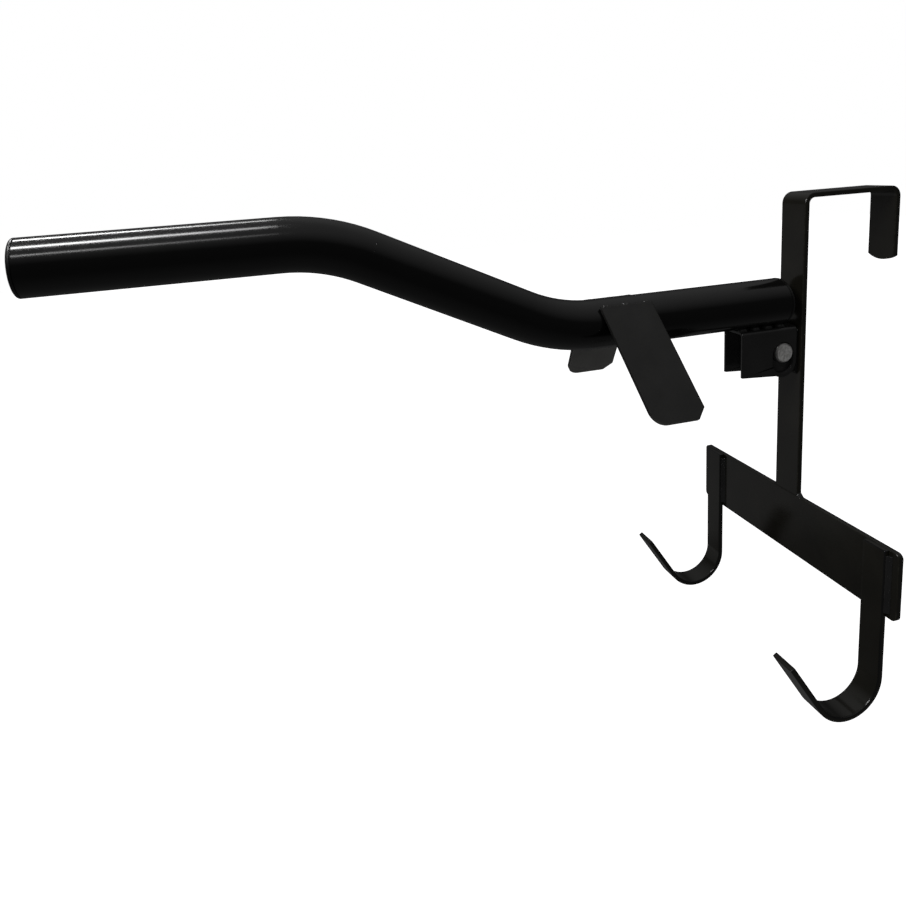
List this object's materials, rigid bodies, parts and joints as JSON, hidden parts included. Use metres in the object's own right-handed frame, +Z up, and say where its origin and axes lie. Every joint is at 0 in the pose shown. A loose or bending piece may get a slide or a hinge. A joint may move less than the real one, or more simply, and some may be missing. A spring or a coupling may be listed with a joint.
{
  "type": "folding over-door saddle rack",
  "caption": "Over-door rack of black powder-coated steel: a bent tube arm with splayed wings folds down on a pin, above a crossbar with bridle hooks.",
  "frame": {"origin": "middle of the hanger's underside, where it rests on top of the door", "axes": "+X points out from the door along the arm, +Y along the door to the rack's right side, +Z up"},
  "size_m": [0.659, 0.22, 0.4011],
  "materials": {
    "black_steel": "gloss powder coat with slight orange peel",
    "coated_weld": "gloss powder coat over a rippled weld bead",
    "black_plastic": "satin moulded plastic",
    "zinc": "bright zinc plate, turned and lightly scratched"
  },
  "bodies": {
    "hanger": {"hanger_bar": "black_steel", "crossbar": "black_steel", "stem_weld": "coated_weld", "left_hook": "black_steel", "right_hook": "black_steel", "left_hook_weld": "coated_weld", "right_hook_weld": "coated_weld", "pivot_lug": "black_steel", "lug_weld": "coated_weld"},
    "pivot": {"pivot_pin": "zinc"},
    "arm": {"arm_tube": "black_steel", "front_end_cap": "black_plastic", "rear_end_cap": "black_plastic", "arm_channel": "black_steel", "left_channel_weld": "coated_weld", "right_channel_weld": "coated_weld", "left_wing": "black_steel", "right_wing": "black_steel", "left_wing_weld": "coated_weld", "right_wing_weld": "coated_weld"}
  },
  "joints": [
    {"name": "arm_fold", "type": "hinge", "parent": "hanger", "child": "pivot", "pos_m": [0.0625, 0, -0.1235], "axis": [0, 1, 0], "range_deg": [0, 90]},
    {"name": "arm_lift", "type": "slide", "parent": "pivot", "child": "arm", "axis": [0, 0, 1], "range_m": [0, 0.0085]}
  ],
  "couplings": [
    {"joint": "arm_lift", "follows": "arm_fold", "m_per_rad": 0.005411}
  ]
}
